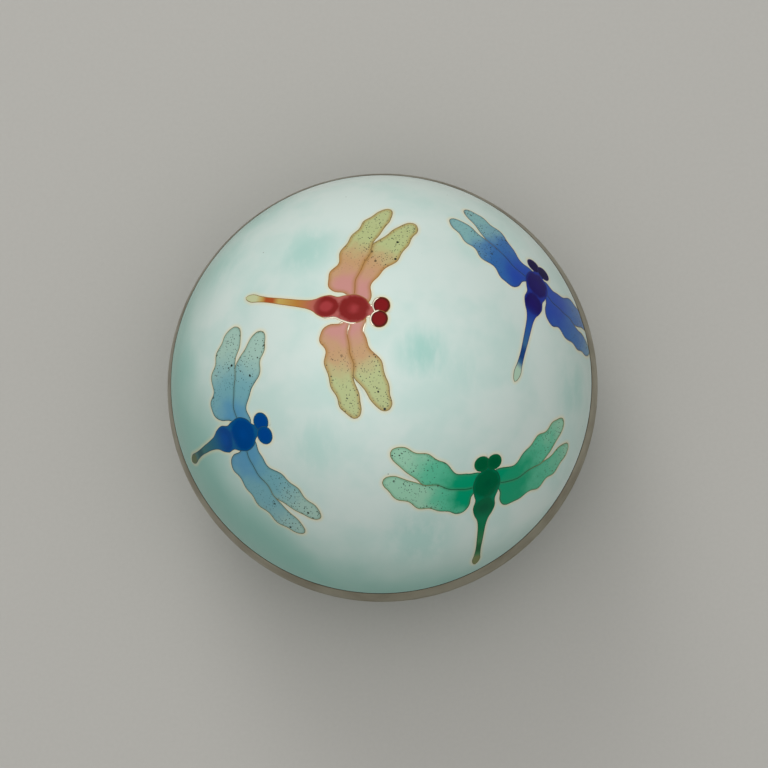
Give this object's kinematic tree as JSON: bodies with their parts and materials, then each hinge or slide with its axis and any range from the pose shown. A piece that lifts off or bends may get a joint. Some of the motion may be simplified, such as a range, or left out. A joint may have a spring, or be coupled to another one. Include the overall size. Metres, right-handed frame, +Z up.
{
  "type": "cloisonne enamel box",
  "caption": "Round covered box in pale cloisonne enamel, with dragonflies on a domed lift-off lid and silver rims.",
  "frame": {"origin": "middle of the foot ring's underside, on the surface that the box stands on", "axes": "+Z up along the axis that every piece is turned about; +Y points to the top of the lid's picture as it is seen from above"},
  "size_m": [0.085, 0.085, 0.0657],
  "materials": {
    "lid_enamel": "glossy milky celadon enamel over copper, with coloured cells between fine gold wires",
    "lid_rim_silver": "satin silver, slightly warm with age",
    "bowl_rim_silver": "satin silver, slightly warm with age",
    "bowl_enamel": "glossy milky celadon enamel over copper, plain",
    "foot_silver": "satin silver, slightly worn below"
  },
  "bodies": {
    "root": {"lid": "lid_enamel", "lid_rim": "lid_rim_silver", "bowl_rim": "bowl_rim_silver", "bowl": "bowl_enamel", "foot_ring": "foot_silver"}
  },
  "joints": []
}
